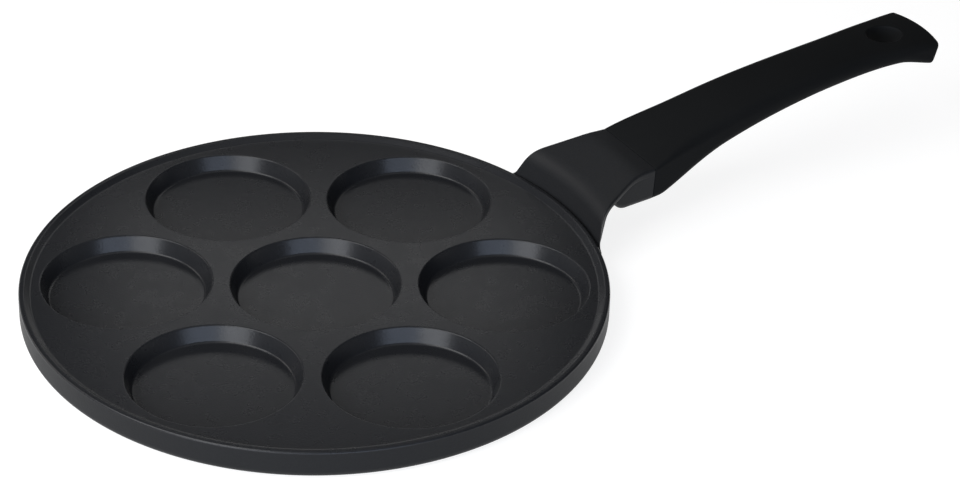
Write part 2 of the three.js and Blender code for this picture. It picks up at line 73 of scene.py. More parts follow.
# Places and sizes that the frame gives
PARTING_X = HANDLE_LOW.x - FIT_GAP
HANDLE_END_X = HANDLE_HIGH.x
SCREW_X = (SCREW_LOW.x + SCREW_HIGH.x) / 2
HEAD_RADIUS = (SCREW_HIGH.x - SCREW_LOW.x) / 2
HEAD_HEIGHT = SPRING_LOW.z
FLAT_RADIUS = (FLAT_HIGH.x - FLAT_LOW.x) / 2
SPRING_RADIUS = (SPRING_HIGH.y - SPRING_LOW.y) / 2
SEAT_HEIGHT = FLAT_HIGH.z

# How finely round forms are divided
PAN_SEGMENTS = 240
WELL_SEGMENTS = 120
HANG_SEGMENTS = 120
FASTENER_SEGMENTS = 48
HOLE_SEGMENTS = 20
ARC_STEP = math.radians(9)
CORNER_STEPS = 6
EDGE_STEPS = 14
HANDLE_STATIONS = 120
BRACKET_STATIONS = 72
CURVE_STEPS = 240
THREAD_ROWS = 12
BEVEL_STEPS = 2
QUARTER_TURNS = [k / CORNER_STEPS * math.pi / 2 for k in range(CORNER_STEPS + 1)]

# Edges that turn by more than this stay sharp
SHARP_ANGLE = math.radians(35)

# Rise of a face's normal from which the face counts as looking up
UPWARD = 0.05

# Length of the pins that punch the disc, in thicknesses of the disc
PUNCH_LENGTH = 3


def linear(hexcode):
    """Linear colour of an sRGB hex value."""
    shares = [int(hexcode[i:i + 2], 16) / 255 for i in (1, 3, 5)]
    return [s / 12.92 if s <= 0.04045 else ((s + 0.055) / 1.055) ** 2.4 for s in shares]


def length(name, description, millimetres):
    """Property for a length."""
    return FloatProperty(name=name, description=description, default=millimetres * MM, min=0, unit="LENGTH")


def angle(name, description, degrees):
    """Property for an angle."""
    return FloatProperty(name=name, description=description, default=math.radians(degrees), subtype="ANGLE")


def colour(name, description, hexcode):
    """Property for a colour."""
    return FloatVectorProperty(
        name=name, description=description, default=linear(hexcode), size=3, min=0, max=1, subtype="COLOR"
    )


class PanSizes(bpy.types.PropertyGroup):
    """Turned plate of the pan with its lip."""

    radius: length("Radius", "From the middle to the outer wall", -PAN_LOW.x / MM)
    base_corner_round: length("Base corner", "Round between the base and the wall", 4)
    lip_height: length("Lip height", "From the deck to the lip's crest", 1.8)
    lip_crest_width: length("Crest width", "Flat top of the lip with its rounds", 2.4)
    lip_crest_round: length("Crest round", "Round on both edges of the crest", 1)
    lip_slope_width: length("Slope width", "Slope from the crest down to the deck", 2.5)
    lip_foot_round: length("Foot round", "Hollow between the slope and the deck", 1.5)


class WellSizes(bpy.types.PropertyGroup):
    """Wells in the deck, one in the middle and a ring of them round it."""

    ring_wells: IntProperty(name="Ring wells", description="Wells round the middle one", default=6, min=3)
    floor_thickness: length("Floor thickness", "Metal under a well", 4.5)
    depth: length("Depth", "From the deck to a well's floor", 7.1)
    draft: angle("Draft", "Lean of a well's wall", 24)
    web: length("Web", "Deck left between two wells", 7.6)
    margin: length("Margin", "Deck left between a well and the lip's foot", 4.1)
    edge_round: length("Edge round", "Round on a well's mouth", 0.8)
    floor_round: length("Floor round", "Hollow round a well's floor", 1.4)


class DiscSizes(bpy.types.PropertyGroup):
    """Perforations of the steel disc in the base."""

    hole_rings: IntProperty(name="Hole rings", description="Rings of holes", default=4, min=1)
    ring_step: IntProperty(name="Ring step", description="Holes more in each ring", default=6, min=3)
    hole_radius: length("Hole radius", "Radius of one hole", 2.2)
    ring_pitch: length("Ring pitch", "From one ring of holes to the next", 20)
    edge_bevel: length("Edge bevel", "Broken edge of the disc and its holes", 0.15)


class BracketSizes(bpy.types.PropertyGroup):
    """Flared ear that rises from the wall behind the lip, bends over a shoulder and ends in a block."""

    groove: length("Groove", "Gap between the lip and the ear's face", 1)
    plate: length("Plate", "Thickness of the ear", 3.4)
    root_width: length("Root width", "Width where the ear leaves the wall", 74.2)
    root_top: length("Root top", "Height where the ear's face leaves the groove", 11.4)
    root_bottom: length("Root bottom", "Height where the ear's underside leaves the wall", 4.6)
    root_fillet: length("Root fillet", "Spread of the ear's edges into the wall", 3.4)
    shoulder_at: length("Shoulder at", "From the wall to the corner of the shoulder", 4.5)
    shoulder_height: length("Shoulder height", "Height of the shoulder's corner", 25.7)
    shoulder_reach: length("Shoulder reach", "How far the shoulder's corner is softened", 6)
    level_length: length("Level length", "Level stretch of the top before the handle", 9)
    level_reach: length("Level reach", "How far the bend before the level stretch is softened", 4)
    neck_from_end: length("Neck from end", "From where the flare starts to the handle", 9)
    neck_width: length("Neck width", "Width where the flare starts", 44.2)
    neck_reach: length("Neck reach", "How far the corner at the neck is softened", 6)
    block_length: length("Block length", "Block under the top, behind the handle", 18.5)
    block_end_round: length("Block end round", "Round where the block runs up into the ear", 6)
    block_slope: angle("Block slope", "Fall of the block's underside towards the pan", 3)


class PartingSizes(bpy.types.PropertyGroup):
    """Section where the block and the handle meet flush."""

    width: length("Width", "Across the parting", 43.2)
    top: length("Top", "Height of the parting's upper edge", 33.4)
    depth: length("Depth", "From the upper to the lower edge", 16.9)
    top_round: length("Top round", "Round of the upper edges", 1.4)
    bottom_round: length("Bottom round", "Round of the lower edges", 3)
    draft: length("Draft", "How much the sides draw in towards the bottom", 1.2)
    under_crown: length("Under crown", "Swell of the underside", 2.6)


class TangSizes(bpy.types.PropertyGroup):
    """Tapered bar from the block into the handle."""

    reach: length("Length", "From the parting to the tip", 36)
    width: length("Width", "Across the tang at the parting", 20)
    height: length("Height", "Height of the tang at the parting", 8)
    taper: length("Taper", "How much narrower and lower the tip is", 1.5)
    edge_round: length("Edge round", "Round of the tang's edges", 1)
    slope: angle("Slope", "Rise of the tang into the handle", 17)
    below_top: length("Below top", "Depth of the tang's middle under the parting's upper edge", 7)


class HandleSizes(bpy.types.PropertyGroup):
    """Arched bar with a deep front, a slim waist and a flared, bowed end."""

    rise: length("Rise", "From the parting's upper edge to the top of the end", 21)
    start_slope: angle("Start slope", "Steepness where the handle leaves the bracket", 22)
    end_slope: angle("End slope", "Fall at the end", -4)
    start_reach: length("Start reach", "Pull of the steep start on the arch", 45)
    end_reach: length("End reach", "Pull of the level end on the arch", 51.2)
    belly_at: length("Belly at", "From the parting to the deepest place", 8)
    belly_depth: length("Belly depth", "Depth of the deepest place", 19.3)
    finger_stop_at: length("Finger stop at", "From the parting to the grip", 45)
    grip_depth: length("Grip depth", "Depth of the grip", 14.4)
    grip_width: length("Grip width", "Width of the grip", 35.2)
    slim_from_end: length("Slim from end", "From the slimmest place to the end", 23.4)
    slim_depth: length("Slim depth", "Depth of the slimmest place", 7.9)
    end_depth: length("End depth", "Depth of the end", 10.7)
    waist_from_end: length("Waist from end", "From the narrowest place to the end", 55.6)
    waist_width: length("Waist width", "Width of the narrowest place", 31.4)
    waist_depth: length("Waist depth", "Depth of the narrowest place", 10.1)
    end_width: length("End width", "Width of the end", 38.2)
    end_bow: length("End bow", "How far the end's middle stands out", 2.7)
    end_rake: length("End rake", "How far the end's lower edge is drawn back", 3.1)
    end_bow_length: length("End bow length", "Stretch over which the bow comes in", 30)
    end_round: length("End round", "Round of the edge at the end", 1.6)
    end_top_round: length("End top round", "Round of the upper edges at the end", 2.6)
    end_bottom_round: length("End bottom round", "Round of the lower edges at the end", 2.8)
    grip_round_at: length("Grip round at", "From the parting to where the grip is fully round", 33)
    grip_top_round: length("Grip top round", "Round of the grip's upper edges", 5)
    grip_bottom_round: length("Grip bottom round", "Round of the grip's lower edges", 6)
    grip_round_from_end: length("Grip round from end", "From where the roundness fades to the end", 50.6)
    grip_crown: length("Grip crown", "Swell of the grip's top", 0.8)
    grip_under_crown: length("Grip under crown", "Swell of the grip's underside", 1.2)
    front_round: length("Front round", "Broken edge at the parting", 0.35)
    hang_from_end: length("Hole from end", "From the middle of the hanging hole to the end", 22.4)
    hang_length: length("Hole length", "Hanging hole along the handle", 17.5)
    hang_width: length("Hole width", "Hanging hole across the handle", 15.5)
    hang_round: length("Hole round", "Round of the hanging hole's rims", 1)


class FixingSizes(bpy.types.PropertyGroup):
    """Pan-head screw with a flat and a spring washer."""

    shank_radius: length("Shank radius", "Outer radius of the thread", 2.5)
    thread_pitch: length("Thread pitch", "From one turn of the thread to the next", 0.8)
    thread_depth: length("Thread depth", "From the thread's crest to its root", 0.45)
    point: length("Point", "Chamfer at the screw's tip", 0.6)
    head_round: length("Head round", "Round on the head's edge", 1.4)
    recess_span: length("Recess span", "Cross recess from tip to tip", 5)
    recess_width: length("Recess width", "Width of one slot of the cross", 1)
    recess_depth: length("Recess depth", "Depth of the cross", 1.6)
    recess_taper: FloatProperty(
        name="Recess taper", description="Share of the cross that is left at its bottom", default=0.7, min=0
    )
    washer_bevel: length("Washer bevel", "Broken edges of the washers", 0.15)
    spring_split: angle("Spring split", "Gap in the spring washer", 16)


class FinishColours(bpy.types.PropertyGroup):
    """Colours of the finishes."""

    inside: colour("Inside", "Non-stick coating on the deck and in the wells", "#191a1c")
    inside_fleck: colour("Inside fleck", "Lighter grains in the non-stick coating", "#202124")
    outside: colour("Outside", "Matte coating on the wall and the bracket", "#17181a")
    outside_fleck: colour("Outside fleck", "Lighter grains in the matte coating", "#1e1f21")
    phenolic: colour("Handle", "Moulded handle", "#131415")
    phenolic_bloom: colour("Handle bloom", "Paler bloom on the moulded handle", "#171819")
    aluminium: colour("Aluminium", "Bare turned aluminium", "#c3c4c5")
    steel: colour("Disc steel", "Brushed ferritic steel", "#aba9a5")
    zinc: colour("Zinc", "Zinc plating on the fixing", "#b4b8ba")
    floor: colour("Floor", "Floor under the pan", "#909090")


class StageSettings(bpy.types.PropertyGroup):
    """Camera, lamps and backdrop."""

    camera_azimuth: angle("Camera azimuth", "Turn of the camera about the pan", -32.49)
    camera_elevation: angle("Camera elevation", "Height of the camera above the floor", 32.26)
    camera_roll: angle("Camera roll", "Tilt of the picture", 1.87)
    camera_distance: length("Camera distance", "From the camera to what it looks at", 1392.4)
    camera_target: FloatVectorProperty(
        name="Camera target", description="What the camera looks at", subtype="TRANSLATION", unit="LENGTH",
        default=(67.95 * MM, -27.25 * MM, 23.15 * MM),
    )
    focal_length: FloatProperty(name="Focal length", description="In millimetres", default=117.9, min=1)
    floor_size: length("Floor size", "Side of the square floor", 12000)
    floor_glow: FloatProperty(name="Floor glow", description="Share of white the floor shows", default=0.84)
    room_light: FloatProperty(name="Room light", description="Level of the light all round", default=0.12)
    ceiling_light: FloatProperty(name="Ceiling", description="Level that gloss sees overhead", default=0.05)


class PancakePan(bpy.types.PropertyGroup):
    """All sizes and finishes of the pan."""

    pan: PointerProperty(type=PanSizes)
    well: PointerProperty(type=WellSizes)
    disc: PointerProperty(type=DiscSizes)
    bracket: PointerProperty(type=BracketSizes)
    parting: PointerProperty(type=PartingSizes)
    tang: PointerProperty(type=TangSizes)
    handle: PointerProperty(type=HandleSizes)
    fixing: PointerProperty(type=FixingSizes)
    finish: PointerProperty(type=FinishColours)
    stage: PointerProperty(type=StageSettings)


# Shapes


def ease(share):
    """Smooth step from 0 to 1."""
    return (1 - math.cos(math.pi * min(1, max(0, share)))) / 2


def smooth(pairs, place):
    """Value at a place along (place, value) pairs, on a smooth curve that never overshoots them."""
    last = len(pairs) - 1

    def rise(i):
        return (pairs[i + 1][1] - pairs[i][1]) / (pairs[i + 1][0] - pairs[i][0])

    def slope(i):
        if i in (0, last):
            return rise(min(i, last - 1))
        before, after = rise(i - 1), rise(i)
        return 2 * before * after / (before + after) if before * after > 0 else 0

    i = max([k for k in range(last) if pairs[k][0] <= place], default=0)
    span = pairs[i + 1][0] - pairs[i][0]
    t = min(1, max(0, (place - pairs[i][0]) / span))
    value = pairs[i][1] + (pairs[i + 1][1] - pairs[i][1]) * t ** 2 * (3 - 2 * t)
    return value + span * t * (1 - t) * (slope(i) * (1 - t) - slope(i + 1) * t)


def swept(start, leaving, reach, end, arriving, reach_back):
    """Points on a curve that leaves one place at an angle and arrives at another at an angle."""
    start, end = np.array(start), np.array(end)
    leave = start + reach * np.array((math.cos(leaving), math.sin(leaving)))
    arrive = end - reach_back * np.array((math.cos(arriving), math.sin(arriving)))
    t = np.linspace(0, 1, CURVE_STEPS + 1)[:, None]
    return (1 - t) ** 3 * start + 3 * (1 - t) ** 2 * t * leave + 3 * (1 - t) * t ** 2 * arrive + t ** 3 * end


def softened(corners):
    """Points along corners given as (x, z) or (x, z, reach), each softened over its reach to either side."""
    places = [np.array(corner[:2]) for corner in corners]
    t = np.linspace(0, 1, CURVE_STEPS + 1)[:, None]
    start, runs = places[0], []
    for before, here, after, (_, _, reach) in zip(places, places[1:], places[2:], corners[1:]):
        back, ahead = before - here, after - here
        leave = here + back * reach / np.hypot(*back)
        arrive = here + ahead * reach / np.hypot(*ahead)
        runs.append(start + (leave - start) * t)
        runs.append((1 - t) ** 2 * leave + 2 * (1 - t) * t * here + t ** 2 * arrive)
        start = arrive
    runs.append(start + (places[-1] - start) * t)
    return np.concatenate(runs)


def rounded(corners):
    """Points along corners given as (across, up) or (across, up, radius), with an arc for each radius."""
    points = []
    for i, (across, up, *radius) in enumerate(corners):
        corner = Vector((across, up))
        if not radius:
            points.append(corner)
            continue
        back = (Vector(corners[i - 1][:2]) - corner).normalized()
        ahead = (Vector(corners[i + 1][:2]) - corner).normalized()
        half = back.angle(ahead) / 2
        arm_start = corner + back * (radius[0] / math.tan(half))
        centre = corner + (back + ahead).normalized() * (radius[0] / math.sin(half))
        turn = math.copysign(math.pi - 2 * half, ahead.cross(back))
        steps = max(2, math.ceil(abs(turn) / ARC_STEP))
        for k in range(steps + 1):
            points.append(centre + Matrix.Rotation(turn * k / steps, 2) @ (arm_start - centre))
    return points


def stacked(rings, strips=False, endless=False):
    """Vertices and faces of a body through rings of points, each counter-clockwise seen from the next one.

    The ends are closed by one face each, by strips from the lower to the upper edge, or by each other.
    """
    count = len(rings[0])
    vertices = [point for ring in rings for point in ring]
    total = len(vertices)
    faces = []
    for level in range(0, total if endless else total - count, count):
        for k in range(count):
            here, beside = level + k, level + (k + 1) % count
            faces.append((here, beside, (beside + count) % total, (here + count) % total))
    if endless:
        return vertices, faces
    cap = [range(count)]
    if strips:
        half = count // 2
        turn = range(-(half // 2), half // 2)
        cap = [[k % count for k in (i, i + 1, half - i - 1, half - i)] for i in turn]
    faces += [tuple(reversed(face)) for face in cap]
    faces += [tuple(total - count + k for k in face) for face in cap]
    return vertices, faces


def turned(points, segments, endless=False):
    """Body turned about the Z axis from a half section that runs counter-clockwise from the bottom."""
    turns = [2 * math.pi * k / segments for k in range(segments)]
    rings = [[(across * math.cos(t), across * math.sin(t), up) for t in turns] for across, up in points]
    return stacked(rings, endless=endless)


def moved(shape, x=0, z=0):
    """Shape moved along X and Z."""
    vertices, faces = shape
    return [(px + x, py, pz + z) for px, py, pz in vertices], faces


def quarter_arc(across, up, radius, start):
    """Quarter arc of a section's corner, counter-clockwise from an angle."""
    turns = [start + t for t in QUARTER_TURNS]
    return [(across + radius * math.cos(t), up + radius * math.sin(t)) for t in turns]


def half_edge(half, up):
    """Points from the middle of a section's edge out to its corner, without the corner."""
    return [(half * k / EDGE_STEPS, up) for k in range(EDGE_STEPS)]


def mirrored(right_half):
    """Whole section from its right half, which runs from the bottom middle to the top middle."""
    return right_half + [(-across, up) for across, up in right_half[-2:0:-1]]


def swell(across, half):
    """How far a section's middle swells, as a share of its crown."""
    return 1 - min(1, abs(across) / half) ** 2


def bar_section(
    x, half, top, bottom, top_round, bottom_round, crown=0, under_crown=0, draft=0, bow=0, rake=0
):
    """Section of a bar across X.

    Its top and bottom swell by their crowns, its sides draw in by a draft towards the bottom, its middle
    runs ahead along X by a bow and its bottom lags by a rake.
    """
    depth = top - bottom
    fit = min(1, depth / (top_round + bottom_round))
    above, below = top_round * fit, bottom_round * fit
    right_half = (
        half_edge(half - below, bottom)
        + quarter_arc(half - below, bottom + below, below, -math.pi / 2)
        + quarter_arc(half - above, top - above, above, 0)
        + half_edge(half - above, top)[::-1]
    )
    section = []
    for across, up in mirrored(right_half):
        share = (up - bottom) / depth
        lift = (crown * share - under_crown * (1 - share)) * swell(across, half)
        ahead = bow * swell(across, half) - rake * (1 - share)
        section.append((x + ahead, across * (1 - draft / half * (1 - share)), up + lift))
    return section


def deck_height(sizes):
    """Height of the deck between the wells."""
    return sizes.well.floor_thickness + sizes.well.depth


def lip_foot(sizes):
    """Radius where the lip's slope meets the deck."""
    pan = sizes.pan
    return pan.radius - pan.lip_crest_width - pan.lip_slope_width


def pan_plate(sizes):
    """Plate with its lip, from the recess for the disc round the outside to the deck."""
    pan = sizes.pan
    recess = DISC_HIGH.x + FIT_GAP
    deck, foot = deck_height(sizes), lip_foot(sizes)
    crest = deck + pan.lip_height
    section = rounded([
        (recess / 2, DISC_HIGH.z),
        (recess, DISC_HIGH.z),
        (recess, 0),
        (pan.radius, 0, pan.base_corner_round),
        (pan.radius, crest, pan.lip_crest_round),
        (pan.radius - pan.lip_crest_width, crest, pan.lip_crest_round),
        (foot, deck, pan.lip_foot_round),
        (foot - 2 * pan.lip_foot_round, deck),
    ])
    return turned(section, PAN_SEGMENTS)


def well_radius(sizes):
    """Radius of a well's mouth, so that three wells and their webs fill the deck."""
    return (lip_foot(sizes) - sizes.well.web - sizes.well.margin) / 3


def well_space(sizes):
    """Space inside one well, up past the deck: flat floor, sloping wall and a rounded mouth."""
    well = sizes.well
    mouth, deck = well_radius(sizes), deck_height(sizes)
    floor = mouth - well.depth * math.tan(well.draft)
    section = rounded([
        (floor - 2 * well.floor_round, well.floor_thickness),
        (floor, well.floor_thickness, well.floor_round),
        (mouth, deck, well.edge_round),
        (mouth + CUT_MARGIN, deck),
    ])
    section[-1] = Vector((section[-2].x, deck + CUT_MARGIN))
    return turned(section, WELL_SEGMENTS)


def bracket_section(sizes, x, top, under, half):
    """Section of the bracket: the ear's top and edge, its underside, and the block that hangs below."""
    pan, bracket, parting = sizes.pan, sizes.bracket, sizes.parting
    lean = ease(2 * (PARTING_X - x) / (PARTING_X - pan.radius))
    block = parting.width / 2
    level = parting.top - parting.depth - math.tan(bracket.block_slope) * (PARTING_X - x)
    end_round = bracket.block_end_round
    inside = min(end_round, max(0, x - PARTING_X + bracket.block_length))
    run_up = end_round - math.sqrt(end_round ** 2 - (end_round - inside) ** 2)
    bottom = min(under, level + run_up) if inside > 0 else under
    block_round = min(parting.bottom_round, under - bottom)
    edge_round = min(parting.top_round, half - block)
    crown = parting.under_crown * min(1, (under - bottom) / end_round)
    right_half = (
        half_edge(block - block_round, bottom)
        + quarter_arc(block - block_round, bottom + block_round, block_round, -math.pi / 2)
        + [(block, under)]
        + quarter_arc(half - edge_round, under + edge_round, edge_round, -math.pi / 2)
        + quarter_arc(half - parting.top_round, top - parting.top_round, parting.top_round, 0)
        + half_edge(half - parting.top_round, top)[::-1]
    )
    section = []
    for across, up in mirrored(right_half):
        y = across * (1 - parting.draft / block * (top - up) / parting.depth)
        sag = pan.radius - math.sqrt(pan.radius ** 2 - y ** 2)
        drop = crown * swell(across, block) * (top - up) / (top - bottom)
        section.append((x - sag * lean, y, up - drop))
    return section


def bracket_ear(sizes):
    """Bracket from inside the pan's wall, up the flare and over the shoulder, to the parting face."""
    pan, bracket, parting = sizes.pan, sizes.bracket, sizes.parting
    top_line = softened([
        (pan.radius + bracket.groove, bracket.root_top),
        (pan.radius + bracket.shoulder_at, bracket.shoulder_height, bracket.shoulder_reach),
        (PARTING_X - bracket.level_length, parting.top, bracket.level_reach),
        (PARTING_X, parting.top),
    ])
    ahead = np.gradient(top_line, axis=0)
    ahead /= np.hypot(*ahead.T)[:, None]
    inner = top_line + bracket.plate * np.stack([ahead[:, 1], -ahead[:, 0]], axis=1)
    under_line = np.vstack([[(pan.radius, bracket.root_bottom)], inner])
    along = np.append(0, np.cumsum(np.hypot(*np.diff(top_line, axis=0).T)))
    widths = softened([
        (0, bracket.root_width),
        (along[-1] - bracket.neck_from_end, bracket.neck_width, bracket.neck_reach),
        (along[-1], parting.width),
    ])
    stations = []
    for k in range(BRACKET_STATIONS):
        place = along[-1] * k / (BRACKET_STATIONS - 1)
        x, top = np.interp(place, along, top_line[:, 0]), np.interp(place, along, top_line[:, 1])
        under = np.interp(x, under_line[:, 0], under_line[:, 1])
        into_wall = max(0, 1 - place / bracket.root_fillet)
        fillet = bracket.root_fillet * (1 - math.sqrt(1 - into_wall ** 2))
        stations.append((x, top, under, np.interp(place, *widths.T) / 2 + fillet))
    _, top, _, half = stations[0]
    root = (pan.radius - pan.lip_crest_width, top, bracket.root_bottom, half)
    return stacked([bracket_section(sizes, *station) for station in [root, *stations]], strips=True)


def tang_bar(sizes, gap):
    """Tang, or with a gap the socket for it, from inside the block to its tip in the handle."""
    parting, tang = sizes.parting, sizes.tang
    tip = PARTING_X + tang.reach * math.cos(tang.slope)
    sections = []
    for x in (PARTING_X - parting.bottom_round, tip + gap):
        taper = tang.taper * (x - PARTING_X) / tang.reach
        middle = parting.top - tang.below_top + math.tan(tang.slope) * (x - PARTING_X)
        half_height = (tang.height - taper) / 2 / math.cos(tang.slope) + gap
        sections.append(bar_section(
            x, (tang.width - taper) / 2 + gap, middle + half_height, middle - half_height,
            tang.edge_round, tang.edge_round,
        ))
    return stacked(sections, strips=True)


def screw_bore(radius, start, end):
    """Upright round pin at the screw's place."""
    return moved(turned([(radius, start), (radius, end)], FASTENER_SEGMENTS), x=SCREW_X)


def handle_form(sizes, x):
    """Sizes of the handle's section at a place along it."""
    handle, parting = sizes.handle, sizes.parting
    place = x - PARTING_X
    ending = HANDLE_END_X - handle.end_bow - PARTING_X
    whole = HANDLE_END_X - PARTING_X
    finish = ease(1 - (ending - place) / handle.end_bow_length)

    def rounding(front, grip, end):
        fades = whole - handle.grip_round_from_end
        return smooth([(0, front), (handle.grip_round_at, grip), (fades, grip), (ending, end)], place)

    width = smooth([
        (0, parting.width),
        (handle.finger_stop_at, handle.grip_width),
        (whole - handle.waist_from_end, handle.waist_width),
        (ending, handle.end_width),
    ], place)
    depth = smooth([
        (0, parting.depth),
        (handle.belly_at, handle.belly_depth),
        (handle.finger_stop_at, handle.grip_depth),
        (whole - handle.waist_from_end, handle.waist_depth),
        (whole - handle.slim_from_end, handle.slim_depth),
        (ending, handle.end_depth),
    ], place)
    top_line = swept(
        (PARTING_X, parting.top), handle.start_slope, handle.start_reach,
        (HANDLE_END_X, parting.top + handle.rise), handle.end_slope, handle.end_reach,
    )
    top = np.interp(x, top_line[:, 0], top_line[:, 1])
    stop = handle.finger_stop_at
    return {
        "half": width / 2,
        "top": top,
        "bottom": top - depth,
        "top_round": rounding(parting.top_round, handle.grip_top_round, handle.end_top_round),
        "bottom_round": rounding(parting.bottom_round, handle.grip_bottom_round, handle.end_bottom_round),
        "crown": smooth([(0, 0), (stop, handle.grip_crown)], place),
        "under_crown": smooth([(0, parting.under_crown), (stop, handle.grip_under_crown)], place),
        "draft": smooth([(0, parting.draft), (stop, 0)], place),
        "bow": handle.end_bow * finish,
        "rake": handle.end_rake * finish,
    }


def handle_section(sizes, x, inset):
    """Section of the handle at a place, drawn in on all sides by an inset."""
    form = handle_form(sizes, x)
    form["half"] -= inset
    form["top"] -= inset
    form["bottom"] += inset
    form["top_round"] -= inset
    form["bottom_round"] -= inset
    return bar_section(x, **form)


def handle_bar(sizes):
    """Handle along its arch, with a broken front edge and a rounded end."""
    handle = sizes.handle
    front = HANDLE_LOW.x + handle.front_round
    straight = HANDLE_END_X - handle.end_bow - handle.end_round
    stations = [
        (front - handle.front_round * math.cos(t), handle.front_round * (1 - math.sin(t)))
        for t in QUARTER_TURNS
    ]
    stations += [(x, 0) for x in np.linspace(front, straight, HANDLE_STATIONS)[1:-1]]
    stations += [
        (straight + handle.end_round * math.sin(t), handle.end_round * (1 - math.cos(t)))
        for t in QUARTER_TURNS
    ]
    return stacked([handle_section(sizes, x, inset) for x, inset in stations], strips=True)


def hanging_hole(sizes):
    """Oval space through the handle, which widens at both faces into a rounded rim."""
    handle = sizes.handle
    middle = HANDLE_END_X - handle.hang_from_end
    edge = handle.hang_round
    rim = [(edge * (1 - math.sin(t)), edge * (1 - math.cos(t))) for t in QUARTER_TURNS]

    def ring(widening, height):
        points = []
        for k in range(HANG_SEGMENTS):
            t = 2 * math.pi * k / HANG_SEGMENTS
            x = middle + (handle.hang_length / 2 + widening) * math.cos(t)
            y = (handle.hang_width / 2 + widening) * math.sin(t)
            points.append((x, y, height(x, y)))
        return points

    def top(x, y):
        form = handle_form(sizes, x)
        return form["top"] + form["crown"] * swell(y, form["half"])

    def bottom(x, y):
        form = handle_form(sizes, x)
        return form["bottom"] - form["under_crown"] * swell(y, form["half"])

    lower = [ring(w, lambda x, y, d=d: bottom(x, y) + d) for w, d in rim]
    upper = [ring(w, lambda x, y, d=d: top(x, y) - d) for w, d in reversed(rim)]
    below = ring(edge, lambda x, y: HANDLE_LOW.z)
    above = ring(edge, lambda x, y: HANDLE_HIGH.z + CUT_MARGIN)
    return stacked([below, *lower, *upper, above])


def screw_head(sizes):
    """Domed head at the bottom with a neck that reaches into the shank."""
    fixing = sizes.fixing
    neck = fixing.shank_radius - fixing.thread_depth
    section = rounded([
        (HEAD_RADIUS / 2, SCREW_LOW.z),
        (HEAD_RADIUS, SCREW_LOW.z, fixing.head_round),
        (HEAD_RADIUS, HEAD_HEIGHT),
        (neck, HEAD_HEIGHT),
        (neck, HEAD_HEIGHT + 2 * fixing.thread_pitch),
    ])
    return moved(turned(section, FASTENER_SEGMENTS), x=SCREW_X)


def threaded_shank(sizes):
    """Shank with a thread wound round it and a chamfered tip."""
    fixing = sizes.fixing
    start = HEAD_HEIGHT + fixing.thread_pitch
    rows = math.ceil((SCREW_HIGH.z - start) / fixing.thread_pitch * THREAD_ROWS)
    rings = []
    for up in np.linspace(start, SCREW_HIGH.z, rows + 1):
        crest = fixing.shank_radius - max(0, up + fixing.point - SCREW_HIGH.z)
        ring = []
        for k in range(FASTENER_SEGMENTS):
            wound = (up / fixing.thread_pitch - k / FASTENER_SEGMENTS) % 1
            radius = min(crest, fixing.shank_radius - fixing.thread_depth * abs(2 * wound - 1))
            t = 2 * math.pi * k / FASTENER_SEGMENTS
            ring.append((SCREW_X + radius * math.cos(t), radius * math.sin(t), up))
        rings.append(ring)
    return stacked(rings)


def cross_recess(sizes):
    """Tapered cross for the driver, from under the head."""
    fixing = sizes.fixing
    outside, bottom = SCREW_LOW.z - fixing.recess_depth, SCREW_LOW.z + fixing.recess_depth
    rings = []
    for share, up in ((1, outside), (fixing.recess_taper, bottom)):
        arm, half = fixing.recess_span / 2 * share, fixing.recess_width / 2 * share
        corner = [(arm, -half), (arm, half), (half, half)]
        ring = []
        for quarter in range(4):
            turn = Matrix.Rotation(quarter * math.pi / 2, 2)
            ring += [(SCREW_X + p.x, p.y, up) for p in (turn @ Vector(c) for c in corner)]
        rings.append(ring)
    return stacked(rings)


def washer_section(fixing, outer, low, high):
    """Section of a washer with broken edges, counter-clockwise from its lower inner edge."""
    bevel = fixing.washer_bevel
    inner = fixing.shank_radius + FIT_GAP
    return [
        (inner + bevel, low), (outer - bevel, low), (outer, low + bevel), (outer, high - bevel),
        (outer - bevel, high), (inner + bevel, high), (inner, high - bevel), (inner, low + bevel),
    ]


def flat_washer_ring(sizes):
    """Flat washer."""
    section = washer_section(sizes.fixing, FLAT_RADIUS, FLAT_LOW.z, FLAT_HIGH.z)
    return moved(turned(section, FASTENER_SEGMENTS, endless=True), x=SCREW_X)


def spring_washer_ring(sizes):
    """Split washer, whose ends spring apart by its bevel."""
    fixing = sizes.fixing
    bevel = fixing.washer_bevel
    section = washer_section(fixing, SPRING_RADIUS, SPRING_LOW.z + bevel, SPRING_HIGH.z - bevel)
    rings = []
    for k in range(FASTENER_SEGMENTS + 1):
        share = k / FASTENER_SEGMENTS
        t = fixing.spring_split / 2 + share * (2 * math.pi - fixing.spring_split)
        climb = bevel * (2 * share - 1)
        rings.append([
            (SCREW_X + across * math.cos(t), across * math.sin(t), up + climb)
            for across, up in reversed(section)
        ])
    return stacked(rings)


# Objects


def solid(name, shape):
    """Object from a shape's vertices and faces."""
    mesh = bpy.data.meshes.new(name)
    mesh.from_pydata(shape[0], [], shape[1])
    piece = bpy.data.objects.new(name, mesh)
    bpy.context.scene.collection.objects.link(piece)
    return piece


def settle(piece):
    """Turns what an object's modifiers make of it into its plain mesh."""
    depsgraph = bpy.context.evaluated_depsgraph_get()
    mesh = bpy.data.meshes.new_from_object(piece.evaluated_get(depsgraph), depsgraph=depsgraph)
    piece.modifiers.clear()
    piece.data = mesh
    if not mesh.polygons:
        raise RuntimeError(f"{piece.name} came out empty")


def carve(piece, operation, *shapes):
    """Joins shapes to an object or cuts them from it."""
    tools = [solid("tool", shape) for shape in shapes]
    for tool in tools:
        cut = piece.modifiers.new(operation, "BOOLEAN")
        cut.operation = operation
        cut.solver = "EXACT"
        cut.object = tool
    settle(piece)
    for tool in tools:
        bpy.data.objects.remove(tool)


